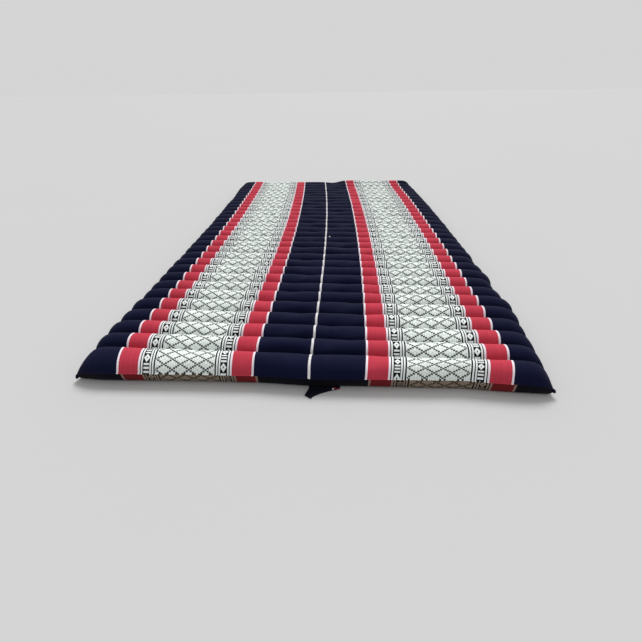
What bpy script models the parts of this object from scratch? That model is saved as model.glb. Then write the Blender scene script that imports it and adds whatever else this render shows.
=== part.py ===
"""Ribbed kapok floor mattress, in metres, +Z up, lying on the floor at z = 0.

+X runs across the mattress and +Y along it, from the front edge to the back edge.
The mattress is one stuffed body: a top cover and a bottom cover that are sewn together round the rim
and along straight channels, so that the stuffing forms 31 crosswise rolls.
A gathered end of cloth lies on the floor at the middle of the front edge.
"""
import math
import random
from collections import namedtuple

import bmesh
import bpy

# Mattress
LENGTH = 2.000           # front seam to back seam
WIDTH = 1.130            # side seam to side seam, at the middle of a roll
ROLLS = 31
THICKNESS = 0.066        # crest of a roll above the floor
STITCH_HEIGHT = 0.033    # channel stitches, front seam and back seam above the floor
WEB = 0.004              # covers and stuffing pinched together at a channel
STITCH_REACH = 0.070     # from a side seam to where a channel has its full height
UNDER_REACH = 0.030      # from a side seam to where the underside lies on the floor
CHANNEL_PULL = 0.007     # how far a channel draws the side seam in
FRONT_FULLNESS = 3       # the larger, the more steeply the front roll comes down from its seam
BOW = 0.024              # the middle of the mattress lies this far towards +X
REST_ANGLE = math.radians(30)   # a roll is flat on the floor this far each side of its middle
PITCH_SPREAD = 0.0012    # unevenness of the channels' places
CREST_SPREAD = 0.0012    # unevenness of the rolls' heights
END_SPREAD = 0.0015      # unevenness of the rolls' ends
END_REACH = 0.100        # from a side seam to where the rolls' uneven ends no longer shift the cover
SWELL_ROLLS = 2          # rolls over which the sides widen from the front and back edges inwards
STUFFING_SEED = 31

# The roll ends at each side: seam height, length and fullness of the rounded end,
# how far a corner sticks out, and how much wider the mattress is away from its front and back edges
Side = namedtuple("Side", "sign seam_height reach fullness ear swell")
SIDES = (
    Side(sign=-1, seam_height=0.008, reach=0.044, fullness=2.2, ear=0.003, swell=0.010),
    Side(sign=+1, seam_height=0.012, reach=0.050, fullness=1.8, ear=-0.008, swell=0.009),
)

# Rolls whose end stands out from the others or lies back, at the -X or the +X side
RollEnd = namedtuple("RollEnd", "side roll out")
ROLL_ENDS = (
    RollEnd(side=-1, roll=2, out=0.003),
    RollEnd(side=-1, roll=6, out=-0.003),
    RollEnd(side=-1, roll=8, out=-0.002),
    RollEnd(side=-1, roll=24, out=-0.004),
    RollEnd(side=-1, roll=25, out=-0.006),
    RollEnd(side=-1, roll=26, out=-0.006),
    RollEnd(side=-1, roll=27, out=-0.003),
    RollEnd(side=+1, roll=1, out=-0.010),
    RollEnd(side=+1, roll=2, out=-0.009),
    RollEnd(side=+1, roll=3, out=-0.007),
    RollEnd(side=+1, roll=4, out=-0.004),
    RollEnd(side=+1, roll=5, out=0.004),
    RollEnd(side=+1, roll=6, out=0.009),
    RollEnd(side=+1, roll=8, out=-0.005),
    RollEnd(side=+1, roll=9, out=0.006),
    RollEnd(side=+1, roll=11, out=-0.005),
    RollEnd(side=+1, roll=12, out=0.003),
)

# How far the front seam lies forward of a straight line, along X
FrontEdge = namedtuple("FrontEdge", "x forward")
FRONT_EDGE = (
    FrontEdge(x=-0.57, forward=0.014),
    FrontEdge(x=-0.51, forward=0.022),
    FrontEdge(x=-0.43, forward=0.020),
    FrontEdge(x=-0.29, forward=0.013),
    FrontEdge(x=-0.12, forward=0.009),
    FrontEdge(x=0.00, forward=0.013),
    FrontEdge(x=0.16, forward=0.005),
    FrontEdge(x=0.35, forward=-0.003),
    FrontEdge(x=0.45, forward=0.004),
    FrontEdge(x=0.52, forward=0.005),
    FrontEdge(x=0.57, forward=0.000),
)

# The last rolls are fuller on the +X side
FullerRoll = namedtuple("FullerRoll", "roll extra")
FULLER_ROLLS = (
    FullerRoll(roll=30, extra=0.006),
    FullerRoll(roll=31, extra=0.014),
)
FULLER_FROM = 0.050      # x where the fuller part starts
FULLER_TO = 0.135        # x where it is at its fullest

# Grid of each cover
ROLL_STEPS = 6           # grid rows to a roll
RIM_INSETS = (0.0, 0.006, 0.019, 0.040, 0.072)   # grid columns from a side seam inwards
MIDDLE_COLUMNS = (-0.330, 0.010, 0.145, 0.350)   # x of the grid columns between them

# Gathered cloth end: its back edge lies against the front roll, its tip points to the front left
TAB_LEFT = 0.000         # x of the back edge's left end
TAB_WIDTH = 0.073        # length of the back edge
TAB_BACK_LEFT = 0.0080   # left end of the back edge in front of the first channel
TAB_BACK_SKEW = -0.0030  # how much further its right end lies in front
TAB_TIP_LEFT = -0.008    # x of the tip's left corner
TAB_TIP_WIDTH = 0.015
TAB_TIP_REACH = 0.0330   # tip's left corner in front of the first channel
TAB_TIP_SKEW = 0.0091    # how much further its right corner reaches
TAB_SWEEP = 1.6          # more than 1 makes the right edge hollow
TAB_BACK_THICKNESS = 0.0042
TAB_TIP_THICKNESS = 0.0030
TAB_FOLD_HEIGHT = 0.0010
TAB_FOLDS = 3
TAB_COLUMNS = 12
TAB_ROWS = 5


def make_material(name, colour, roughness):
    """A plain Principled material."""
    material = bpy.data.materials.new(name)
    material.use_nodes = True
    shader = material.node_tree.nodes["Principled BSDF"]
    shader.inputs["Base Color"].default_value = (*colour, 1.0)
    shader.inputs["Roughness"].default_value = roughness
    shader.inputs["Metallic"].default_value = 0.0
    return material


def make_object(name, bm, material, collection):
    """Turn a bmesh into a named object in the collection."""
    mesh = bpy.data.meshes.new(name)
    bm.to_mesh(mesh)
    bm.free()
    mesh.materials.append(material)
    mesh.shade_smooth()
    obj = bpy.data.objects.new(name, mesh)
    collection.objects.link(obj)
    return obj


def smooth_step(low, high, value):
    """0 below low, 1 above high, with an even S between."""
    t = min(max((value - low) / (high - low), 0.0), 1.0)
    return t * t * (3.0 - 2.0 * t)


def shoulder(distance, reach, fullness):
    """Rise of a rounded end: 0 at the seam, 1 from reach inwards; a fullness of 2 is a quarter circle."""
    t = min(distance / reach, 1.0)
    return (1.0 - (1.0 - t) ** fullness) ** (1.0 / fullness)


def uneven_rolls():
    """Channel places along Y, crest heights, and how far each roll's two ends stand out."""
    chance = random.Random(STUFFING_SEED)
    pitch = LENGTH / ROLLS
    channels = [-LENGTH / 2 + pitch * index for index in range(ROLLS + 1)]
    for index in range(2, ROLLS - 1):
        channels[index] += chance.uniform(-PITCH_SPREAD, PITCH_SPREAD)
    crests = [THICKNESS + chance.uniform(-CREST_SPREAD, CREST_SPREAD) for _ in range(ROLLS)]
    ends = {}
    for side in SIDES:
        ends[side.sign] = [chance.uniform(-END_SPREAD, END_SPREAD) for _ in range(ROLLS)]
    for row in ROLL_ENDS:
        ends[row.side][row.roll - 1] += row.out
    return channels, crests, ends


CHANNELS, CRESTS, ENDS = uneven_rolls()


def roll_phase(row):
    """Roll number from 0 and the angle round it, -90 to +90 degrees, of a grid row."""
    roll = min(row // ROLL_STEPS, ROLLS - 1)
    angle = math.pi * ((row - roll * ROLL_STEPS) / ROLL_STEPS - 0.5)
    return roll, angle


def seam_out(side, roll, angle):
    """How far the side seam lies outside its even line at half the width."""
    bulge = math.cos(angle)
    corner = 0.0
    if roll == 0:
        corner = max(-math.sin(angle), 0.0)
    if roll == ROLLS - 1:
        corner = max(math.sin(angle), 0.0)
    widened = side.swell * smooth_step(0, SWELL_ROLLS, min(roll, ROLLS - 1 - roll))
    drawn_in = CHANNEL_PULL * (1.0 - bulge) ** 1.5 * (1.0 - corner)
    return widened + ENDS[side.sign][roll] * bulge - drawn_in + side.ear * corner ** 2


def forward_of_line(x):
    """How far the front seam lies forward at x, read between the rows of FRONT_EDGE."""
    x = min(max(x, FRONT_EDGE[0].x), FRONT_EDGE[-1].x)
    for left, right in zip(FRONT_EDGE, FRONT_EDGE[1:]):
        if x <= right.x:
            share = (x - left.x) / (right.x - left.x)
            return left.forward + (right.forward - left.forward) * share
    return 0.0


def crest_extra(roll, x):
    """Added height of the fuller rolls."""
    for row in FULLER_ROLLS:
        if row.roll - 1 == roll:
            return row.extra * smooth_step(FULLER_FROM, FULLER_TO, x)
    return 0.0


def rim_web(roll, angle):
    """Thickness of the pinched channel: nothing at the front and back seams."""
    if roll == 0:
        return WEB * (0.5 + angle / math.pi)
    if roll == ROLLS - 1:
        return WEB * (0.5 - angle / math.pi)
    return WEB


def cover_point(side, inset, row, top):
    """A point of the top or bottom cover, inset from a side seam."""
    roll, angle = roll_phase(row)
    swell = max(math.cos(angle), 0.0)
    y = CHANNELS[roll] + (CHANNELS[roll + 1] - CHANNELS[roll]) * (0.5 + 0.5 * math.sin(angle))
    middle = BOW * (1.0 - (2.0 * y / LENGTH) ** 2)
    shift = seam_out(side, roll, angle) * (1.0 - smooth_step(0.0, END_REACH, inset))
    x = middle + side.sign * (WIDTH / 2 + shift - inset)
    if roll == 0:
        y -= forward_of_line(x) * max(-math.sin(angle), 0.0)
    stitch = STITCH_HEIGHT - side.seam_height
    stitch = side.seam_height + stitch * shoulder(inset, STITCH_REACH, side.fullness)
    half_web = 0.5 * rim_web(roll, angle) * shoulder(inset, UNDER_REACH, 2.0)
    if top:
        rise = CRESTS[roll] + crest_extra(roll, x) - STITCH_HEIGHT - WEB / 2
        rise *= shoulder(inset, side.reach, side.fullness)
        return x, y, stitch + half_web + rise * swell
    if roll == 0 and angle < 0.0:
        swell = 1.0 - (1.0 - swell) ** FRONT_FULLNESS
    drop = STITCH_HEIGHT / math.cos(REST_ANGLE) * shoulder(inset, UNDER_REACH, 2.0)
    return x, y, max(stitch - half_web - drop * swell, 0.0)


def column_places():
    """Side and inset of each grid column, from -X to +X."""
    left, right = SIDES
    middle = [(left if x < 0 else right, WIDTH / 2 - abs(x)) for x in MIDDLE_COLUMNS]
    return (
        [(left, inset) for inset in RIM_INSETS]
        + middle
        + [(right, inset) for inset in reversed(RIM_INSETS)]
    )


def shape_cover(bm, columns, top):
    """Add one cover as a grid and bend it into shape. Returns its rim vertices."""
    rows = ROLLS * ROLL_STEPS
    across = len(columns) - 1
    made = bmesh.ops.create_grid(bm, x_segments=across, y_segments=rows, size=0.5)
    rim = []
    for vert in made["verts"]:
        column = round((vert.co.x + 0.5) * across)
        row = round((vert.co.y + 0.5) * rows)
        side, inset = columns[column]
        vert.co = cover_point(side, inset, row, top)
        if column in (0, across) or row in (0, rows):
            rim.append(vert)
    if not top:
        faces = {face for vert in made["verts"] for face in vert.link_faces}
        bmesh.ops.reverse_faces(bm, faces=list(faces))
    return rim


def make_mattress(collection):
    """Top and bottom covers, welded along the rim seam into one closed body."""
    bm = bmesh.new()
    columns = column_places()
    rim = shape_cover(bm, columns, top=True)
    rim += shape_cover(bm, columns, top=False)
    bmesh.ops.remove_doubles(bm, verts=rim, dist=0.00001)
    bmesh.ops.triangulate(bm, faces=bm.faces)
    material = make_material("woven_cover", (0.012, 0.014, 0.040), 0.85)
    return make_object("mattress", bm, material, collection)


def tab_point(across, along):
    """A point on the gathered end: across is 0 to 1 from the left, along 0 to 1 from back to tip."""
    left = TAB_LEFT + (TAB_TIP_LEFT - TAB_LEFT) * along
    sweep = 1.0 - (1.0 - along) ** TAB_SWEEP
    right_start = TAB_LEFT + TAB_WIDTH
    right = right_start + (TAB_TIP_LEFT + TAB_TIP_WIDTH - right_start) * sweep
    back = TAB_BACK_LEFT + TAB_BACK_SKEW * across
    reach = TAB_TIP_REACH + TAB_TIP_SKEW * across
    y = -LENGTH / 2 - back - (reach - back) * along
    thickness = TAB_BACK_THICKNESS + (TAB_TIP_THICKNESS - TAB_BACK_THICKNESS) * along
    fold = TAB_FOLD_HEIGHT * math.cos(2.0 * math.pi * TAB_FOLDS * across) * math.sin(math.pi * along / 2)
    return left + (right - left) * across, y, thickness + fold


def make_front_tab(collection):
    """The gathered cloth end: a folded top on a flat underside."""
    bm = bmesh.new()
    made = bmesh.ops.create_grid(bm, x_segments=TAB_COLUMNS, y_segments=TAB_ROWS, size=0.5)
    for vert in made["verts"]:
        vert.co = tab_point(vert.co.x + 0.5, 0.5 - vert.co.y)
    skirt = bmesh.ops.extrude_face_region(bm, geom=list(bm.faces))
    for item in skirt["geom"]:
        if isinstance(item, bmesh.types.BMVert):
            item.co.z = 0.0
    bmesh.ops.recalc_face_normals(bm, faces=bm.faces)
    bmesh.ops.triangulate(bm, faces=bm.faces)
    material = make_material("gathered_cloth", (0.010, 0.011, 0.022), 0.9)
    return make_object("front_tab", bm, material, collection)


def centre_on_floor(objects):
    """Move the meshes so that the whole stands at the middle of its own footprint."""
    points = [vert.co for obj in objects for vert in obj.data.vertices]
    middle_x = (min(p.x for p in points) + max(p.x for p in points)) / 2
    middle_y = (min(p.y for p in points) + max(p.y for p in points)) / 2
    for point in points:
        point.x -= middle_x
        point.y -= middle_y


def main():
    for obj in list(bpy.data.objects):
        bpy.data.objects.remove(obj, do_unlink=True)
    collection = bpy.data.collections.new("kapok_mattress")
    bpy.context.scene.collection.children.link(collection)
    centre_on_floor([make_mattress(collection), make_front_tab(collection)])


main()
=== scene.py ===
"""Looks of the ribbed kapok floor mattress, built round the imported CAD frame.

The mattress's own frame is used while it is made: x = 0 is the seam between its two cloth widths,
y runs from the front seam at -LENGTH / 2 to the back seam, and z = 0 is the floor.
"""
import math
import random
from collections import namedtuple

import bpy
import numpy as np
from mathutils import Matrix, Vector
from mathutils.bvhtree import BVHTree


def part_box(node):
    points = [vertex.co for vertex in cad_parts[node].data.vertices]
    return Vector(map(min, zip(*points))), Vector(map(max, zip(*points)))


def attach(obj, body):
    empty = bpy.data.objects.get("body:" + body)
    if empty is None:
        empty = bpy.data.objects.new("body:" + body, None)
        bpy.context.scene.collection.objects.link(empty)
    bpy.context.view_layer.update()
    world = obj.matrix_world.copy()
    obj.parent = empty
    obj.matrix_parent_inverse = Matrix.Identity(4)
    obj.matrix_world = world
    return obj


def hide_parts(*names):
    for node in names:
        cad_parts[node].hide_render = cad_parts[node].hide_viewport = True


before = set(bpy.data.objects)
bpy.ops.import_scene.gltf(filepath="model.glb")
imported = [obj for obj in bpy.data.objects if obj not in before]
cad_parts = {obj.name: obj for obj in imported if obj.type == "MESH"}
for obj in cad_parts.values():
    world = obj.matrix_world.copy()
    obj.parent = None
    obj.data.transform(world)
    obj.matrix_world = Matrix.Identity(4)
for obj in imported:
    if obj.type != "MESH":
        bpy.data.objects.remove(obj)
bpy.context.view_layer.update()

# The mattress's sizes, as in the CAD model
LENGTH = 2.000
WIDTH = 1.130
ROLLS = 31
THICKNESS = 0.066
STITCH_HEIGHT = 0.033
WEB = 0.004
STITCH_REACH = 0.070
UNDER_REACH = 0.030
CHANNEL_PULL = 0.007
FRONT_FULLNESS = 3
BOW = 0.024
REST_ANGLE = math.radians(30)
PITCH_SPREAD = 0.0012
CREST_SPREAD = 0.0012
END_SPREAD = 0.0015
END_REACH = 0.100
SWELL_ROLLS = 2
STUFFING_SEED = 31

Side = namedtuple("Side", "sign seam_height reach fullness ear swell")
SIDES = (
    Side(sign=-1, seam_height=0.008, reach=0.044, fullness=2.2, ear=0.003, swell=0.010),
    Side(sign=+1, seam_height=0.012, reach=0.050, fullness=1.8, ear=-0.008, swell=0.009),
)
GATHERS = {-1: 0.040, +1: 0.028}   # share by which each side's cloth is gathered into the front seam

RollEnd = namedtuple("RollEnd", "side roll out")
ROLL_ENDS = (
    RollEnd(side=-1, roll=2, out=0.003),
    RollEnd(side=-1, roll=6, out=-0.003),
    RollEnd(side=-1, roll=8, out=-0.002),
    RollEnd(side=-1, roll=24, out=-0.004),
    RollEnd(side=-1, roll=25, out=-0.006),
    RollEnd(side=-1, roll=26, out=-0.006),
    RollEnd(side=-1, roll=27, out=-0.003),
    RollEnd(side=+1, roll=1, out=-0.010),
    RollEnd(side=+1, roll=2, out=-0.009),
    RollEnd(side=+1, roll=3, out=-0.007),
    RollEnd(side=+1, roll=4, out=-0.004),
    RollEnd(side=+1, roll=5, out=0.004),
    RollEnd(side=+1, roll=6, out=0.009),
    RollEnd(side=+1, roll=8, out=-0.005),
    RollEnd(side=+1, roll=9, out=0.006),
    RollEnd(side=+1, roll=11, out=-0.005),
    RollEnd(side=+1, roll=12, out=0.003),
)

FrontEdge = namedtuple("FrontEdge", "x forward")
FRONT_EDGE = (
    FrontEdge(x=-0.57, forward=0.014),
    FrontEdge(x=-0.51, forward=0.022),
    FrontEdge(x=-0.43, forward=0.020),
    FrontEdge(x=-0.29, forward=0.013),
    FrontEdge(x=-0.12, forward=0.009),
    FrontEdge(x=0.00, forward=0.013),
    FrontEdge(x=0.16, forward=0.005),
    FrontEdge(x=0.35, forward=-0.003),
    FrontEdge(x=0.45, forward=0.004),
    FrontEdge(x=0.52, forward=0.005),
    FrontEdge(x=0.57, forward=0.000),
)

FullerRoll = namedtuple("FullerRoll", "roll extra")
FULLER_ROLLS = (
    FullerRoll(roll=30, extra=0.006),
    FullerRoll(roll=31, extra=0.014),
)
FULLER_FROM = 0.050
FULLER_TO = 0.135

# Cage of the covers, before its one subdivision
ROLL_STEPS = 6
RIM_INSETS = (0.0, 0.003, 0.007, 0.012, 0.019, 0.027, 0.037, 0.050, 0.066)
MIDDLE_COLUMNS = 22      # columns of the cage on each side between the rim's and the centre

# Swelling of the stuffed rolls by cloth simulation
START_FULLNESS = 0.985   # the rolls' height at its start
SEWN = 0.999             # share of pinch from which a point belongs to a sewn channel
CLOTH_PRESSURE = 4.0
CLOTH_FRAMES = 20
CLOTH_SPARE = 0.005      # share by which the cloth is larger than its start shape, so that it puckers
SWELL_CAP = 0.005        # how far a point may move
LUMP_HEIGHT = 0.0010     # lumps of kapok
LUMP_SIZE = 0.085
LUMP_WAVES = 9
LUMP_REACH = 0.050       # from the side seams to where the lumps have their full height
LUMP_SEED = 5

# UV map for baking: start and width of each cover, and start and length of both
BAKE_TOP = (0.003, 0.64)
BAKE_UNDER = (0.65, 0.345)
BAKE_ALONG = (0.003, 0.994)

# The woven cloth: bands on each side of a cloth width's centre line, by their outer edge
WIDTH_CENTRES = (-0.3045, 0.3025)   # centre lines of the two cloth widths
Band = namedtuple("Band", "edge colour")
BANDS = (
    Band(edge=0.0727, colour="lattice"),
    Band(edge=0.0774, colour="black"),
    Band(edge=0.0812, colour="white"),
    Band(edge=0.0832, colour="black"),
    Band(edge=0.0866, colour="white"),
    Band(edge=0.1049, colour="black"),
    Band(edge=0.1083, colour="white"),
    Band(edge=0.1101, colour="black"),
    Band(edge=0.1156, colour="pink_white"),
    Band(edge=0.1646, colour="red"),
    Band(edge=0.1700, colour="pink_white"),
    Band(edge=0.3200, colour="navy"),
)
COLOURS = {
    "white": (0.84, 0.89, 0.88),
    "lattice": (0.86, 0.93, 0.89),
    "pink_white": (0.84, 0.76, 0.82),
    "black": (0.004, 0.004, 0.006),
    "red": (0.50, 0.042, 0.070),
    "navy": (0.0022, 0.0034, 0.024),
}
LATTICE_REPEATS = 3.5     # diamond repeats across the lattice band
LATTICE_ALONG = 0.0267    # one repeat along the cloth
LATTICE_CELLS = 8         # woven blocks to a repeat
LINE_HALF = 0.66          # half the height of a line's block, in cells
LATTICE_STARTS = (0.0104, 0.0048)   # first crossing at a band's left edge, for each cloth width
LINE_SHARE = 0.97         # how dark the lattice's lines are
DETAIL_SHARE = 0.36       # and the small marks inside its diamonds, all measured in cells:
SPECK_RING = (2.45, 2.95)
SPECK_GAP = 0.42
NOTCH_RING = (0.8, 2.1)
NOTCH_HALF = 0.20
DOT_HALF = (0.28, 0.34)
TIP_PLACE = 1.60
TIP_HALF = (0.17, 0.25)
MOTIF_PERIOD = 0.0505     # one diamond and three bars
MOTIF_CENTRE = 0.0957
MOTIF_STARTS = ((0.039, 0.0175), (0.003, 0.042))   # first diamond of the left and right column, by width
DIAMOND_HALF = (0.0078, 0.0115)
DIAMOND_EYE = 0.24        # size of its dark eye, as a share
BAR_WIDTH = 0.0134
BAR_FIRST = 0.0162        # from a diamond's middle to the first bar's
BAR_STEP = 0.0091
BAR_HEIGHT = 0.0050
BARS = 3
UNDER_SHIFT = 0.0090      # the bottom cover's pattern lies this far towards +X
# painted shade: the bottom cover's colour is multiplied by this, browner and darker as painted shade of the
# underside
UNDER_TINT_AND_PAINTED_SHADE = (0.33, 0.24, 0.19)
YARN_PITCH = 0.0011
EDGE_JITTER = 0.0006      # unevenness of the bands' edges
# Tone of the cloth, each as a factor and a start; the last is painted shade, darker in the sewn channels
YARN_SHADE = (0.34, 0.83)
STREAK_SHADE = (0.44, 0.78)
WORN_SHADE = (0.22, 0.89)
CHANNEL_PAINTED_SHADE = (-0.14, 1.0)

# Colours of the plain pieces
THREAD_BLACK = (0.012, 0.012, 0.018)
COTTON_WHITE = (0.80, 0.74, 0.79)
COTTON_NAVY = (0.0045, 0.005, 0.012)
COTTON_RED = (0.42, 0.03, 0.05)

# Seams, stitches and loose bits
SEAM_RADIUS = 0.0019
SEAM_SIDES = 8
SEAM_STEPS = 40           # steps of the front and back seam on each side, past the rim's
SEAM_ROUND = (1.25, 0.95) # half width and height of its section, in radii
SEAM_INWARD = 0.85        # how far its section lies inside the covers' edge, in radii
SEAM_YARN = 0.0021        # where along the cloth its colours are taken
SEAM_FRONT = 0.030        # how close to the front line the seam is gathered
CENTRE_LINE = 0.0062      # width of the white centre seam
CENTRE_RAISE = 0.0009     # its height above the cloth
CENTRE_DEPTH = 0.0012     # and its depth below
CENTRE_WANDER = 0.00035   # how far it wanders sideways
FINE_STEPS = 16           # steps to a roll of the pieces that follow its curve
STITCH_PITCH = 0.0090
STITCH_LENGTH = 0.0062
THREAD_RADIUS = 0.0007
STITCH_JITTER = 0.0008
STITCH_MARGIN = 0.012     # from a side seam to a channel's first stitch
STITCH_SEED = 12
STITCH_SLANT = 0.0016     # of the thread over the rim, to each side
STITCH_INNER = 0.0028     # how far inside the rim it starts, above the seam
STITCH_OUTER = 0.0004     # and ends, below it
STITCH_LIFT = 0.0006      # its least height above the floor
STITCH_ARCH = (0.0011, 0.0007)     # outward and up

# Gathered cloth end, as in the CAD model, with its folds
TAB_LEFT = 0.000
TAB_WIDTH = 0.073
TAB_BACK_LEFT = 0.0086
TAB_BACK_SKEW = -0.0028
TAB_TIP_LEFT = -0.008
TAB_TIP_WIDTH = 0.015
TAB_TIP_REACH = 0.0328
TAB_TIP_SKEW = 0.0091
TAB_SWEEP = 1.6
TAB_FOLDS = 5
TAB_FOLD_HEIGHT = 0.0042
TAB_CLOTH = 0.0011        # thickness of its cloth
TAB_COLUMNS = 110
TAB_ROWS = 40
TAB_UNDER = 0.5           # it runs on under the front roll by this share of its reach
TAB_CLEARANCE = 0.0018    # below the roll there
TAB_RISE = 0.004          # and how far it rises there
TAB_LEAN = 0.0016         # how far its folds lean sideways
TAB_FRAY = 0.0011         # unevenness of its tip
SCRAP_PLACE = (0.0590, -1.0098)    # left end of the little red scrap of cloth on its right edge
SCRAP_SIZE = (0.013, 0.006)
SCRAP_GRID = (16, 8)
SCRAP_HEIGHT = 0.0046
SCRAP_WAVE = 0.0012
SCRAP_DROP = 0.0028       # from its left end to its right end
SCRAP_TAPER = 0.75
SCRAP_TURN = 0.0035
SCRAP_CLOTH = 0.0009
KNOT_PLACE = (0.0566, -1.0128, 0.0062)
KNOT_RADIUS = 0.0019
KNOT_TWIST = 0.16         # unevenness of its thread
LINT_PLACE = (0.0395, -0.1290)
LINT_FIBRES = 22
LINT_SPREAD = 0.0072
LINT_STEPS = 9
LINT_RADIUS = 0.0006
LINT_LIFT = 0.0012        # height of a fibre's ends above the cover
LINT_ARCH = 0.0034        # and of its middle above them
LINT_SEED = 4

# Floor and light. The surround is nearly as bright as the lit floor, so that the horizon is faint.
FLOOR_GAP = 0.0003        # the floor lies this far under the mattress
FLOOR_REACH = 60.0
FLOOR_TONE = (0.535, 0.535, 0.535)
FLOOR_UNEVEN = 1.015      # its lightest tone as a factor
SURROUND = 0.662
KEY_FROM = (0.35, 2.6, 3.4)
KEY_STRENGTH = 2.25
KEY_SOFTNESS = math.radians(24)

# The camera, in the mattress's own frame
CAMERA_PLACE = (0.0421, -1.7291, 0.6309)
CAMERA_YAW = math.radians(-4.71)
CAMERA_PITCH = math.radians(27.11)
CAMERA_ROLL = math.radians(-0.86)
CAMERA_LENS = 22.15
CAMERA_SHIFT = (0.0327, -0.0483)


def middle_of(y):
    """x of the mattress's own middle line, which bows sideways."""
    return BOW * (1.0 - (2.0 * y / LENGTH) ** 2)


def smooth_step(low, high, value):
    t = np.clip((value - low) / (high - low), 0.0, 1.0)
    return t * t * (3.0 - 2.0 * t)


def shoulder(distance, reach, fullness):
    """Rise of a rounded end: 0 at the seam, 1 from reach inwards."""
    t = np.minimum(distance / reach, 1.0)
    return (1.0 - (1.0 - t) ** fullness) ** (1.0 / fullness)


def uneven_rolls():
    """Channel places, crest heights and roll ends, drawn in the same order as in the CAD model."""
    chance = random.Random(STUFFING_SEED)
    pitch = LENGTH / ROLLS
    channels = [-LENGTH / 2 + pitch * index for index in range(ROLLS + 1)]
    for index in range(2, ROLLS - 1):
        channels[index] += chance.uniform(-PITCH_SPREAD, PITCH_SPREAD)
    crests = [THICKNESS + chance.uniform(-CREST_SPREAD, CREST_SPREAD) for _ in range(ROLLS)]
    ends = {}
    for side in SIDES:
        ends[side.sign] = [chance.uniform(-END_SPREAD, END_SPREAD) for _ in range(ROLLS)]
    for row in ROLL_ENDS:
        ends[row.side][row.roll - 1] += row.out
    return np.array(channels), np.array(crests), {sign: np.array(out) for sign, out in ends.items()}


CHANNELS, CRESTS, ENDS = uneven_rolls()


def seam_out(side, roll, angle):
    """How far the side seam lies outside its even line at half the width."""
    bulge = np.cos(angle)
    corner = np.where(roll == 0, np.maximum(-np.sin(angle), 0.0), 0.0)
    corner = np.where(roll == ROLLS - 1, np.maximum(np.sin(angle), 0.0), corner)
    widened = side.swell * smooth_step(0, SWELL_ROLLS, np.minimum(roll, ROLLS - 1 - roll))
    drawn_in = CHANNEL_PULL * (1.0 - bulge) ** 1.5 * (1.0 - corner)
    return widened + ENDS[side.sign][roll] * bulge - drawn_in + side.ear * corner ** 2


def crest_extra(roll, x):
    """Added height of the fuller rolls."""
    extra = np.zeros_like(x)
    for row in FULLER_ROLLS:
        extra = np.where(row.roll - 1 == roll, row.extra * smooth_step(FULLER_FROM, FULLER_TO, x), extra)
    return extra


def cover_points(side, inset, roll, angle, top):
    """Points of the top or bottom cover, inset from a side seam. Takes arrays, or numbers that broadcast."""
    roll, angle, inset = np.broadcast_arrays(roll, angle, inset)
    swell = np.maximum(np.cos(angle), 0.0)
    y = CHANNELS[roll] + (CHANNELS[roll + 1] - CHANNELS[roll]) * (0.5 + 0.5 * np.sin(angle))
    middle = middle_of(y)
    shift = seam_out(side, roll, angle) * (1.0 - smooth_step(0.0, END_REACH, inset))
    x = middle + side.sign * (WIDTH / 2 + shift - inset)
    forward = np.interp(x, [row.x for row in FRONT_EDGE], [row.forward for row in FRONT_EDGE])
    y = y - np.where(roll == 0, forward * np.maximum(-np.sin(angle), 0.0), 0.0)
    stitch = STITCH_HEIGHT - side.seam_height
    stitch = side.seam_height + stitch * shoulder(inset, STITCH_REACH, side.fullness)
    web = np.where(roll == 0, 0.5 + angle / math.pi, 1.0)
    web = WEB * np.where(roll == ROLLS - 1, 0.5 - angle / math.pi, web)
    half_web = 0.5 * web * shoulder(inset, UNDER_REACH, 2.0)
    if top:
        rise = CRESTS[roll] + crest_extra(roll, x) - STITCH_HEIGHT - WEB / 2
        rise = rise * shoulder(inset, side.reach, side.fullness)
        z = stitch + half_web + START_FULLNESS * rise * swell
    else:
        fuller = 1.0 - (1.0 - swell) ** FRONT_FULLNESS
        swell = np.where((roll == 0) & (angle < 0.0), fuller, swell)
        drop = STITCH_HEIGHT / math.cos(REST_ANGLE) * shoulder(inset, UNDER_REACH, 2.0)
        z = np.maximum(stitch - half_web - drop * swell, 0.0)
    return np.stack([x, y, z], axis=-1)


def column_places():
    """Side, inset and cloth coordinate of each column of the cage, from -X to +X."""
    half = WIDTH / 2
    middle = np.linspace(half - RIM_INSETS[-1], 0.0, MIDDLE_COLUMNS + 2)[1:-1]
    insets = list(RIM_INSETS) + [half - x for x in middle]
    left, right = SIDES
    columns = [(left, inset) for inset in insets] + [(left, half)]
    return columns + [(right, inset) for inset in reversed(insets)]


def cover_grid(columns, top):
    """The cage of one cover, rows by columns by 3."""
    rows = np.arange(ROLLS * ROLL_STEPS + 1)
    roll = np.minimum(rows // ROLL_STEPS, ROLLS - 1)
    angle = math.pi * ((rows - roll * ROLL_STEPS) / ROLL_STEPS - 0.5)
    return np.stack([cover_points(side, inset, roll, angle, top) for side, inset in columns], axis=1)


def lumps(points, seed):
    """Smooth unevenness between -1 and 1: a few crossing waves of odd lengths."""
    chance = random.Random(seed)
    total = np.zeros(points.shape[:-1])
    for _ in range(LUMP_WAVES):
        size = LUMP_SIZE * chance.uniform(0.6, 2.2)
        turn = chance.uniform(0.0, math.pi)
        phase = chance.uniform(0.0, 2.0 * math.pi)
        across = points[..., 0] * math.cos(turn) + 1.6 * points[..., 1] * math.sin(turn)
        total += np.sin(2.0 * math.pi * across / size + phase)
    return total / 5.0


def cloth_lengths(grid):
    """Distance along the cloth of each row from the front seam, measured halfway across a cloth width."""
    column = grid.shape[1] // 4
    steps = np.linalg.norm(np.diff(grid[:, column], axis=0), axis=1)
    return np.concatenate([[0.0], np.cumsum(steps)])


def quad_faces(index):
    """Quads of a grid of vertex numbers, facing up for rows along +Y and columns along +X."""
    return np.stack([index[:-1, :-1], index[:-1, 1:], index[1:, 1:], index[1:, :-1]], axis=-1).reshape(-1, 4)


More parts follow.
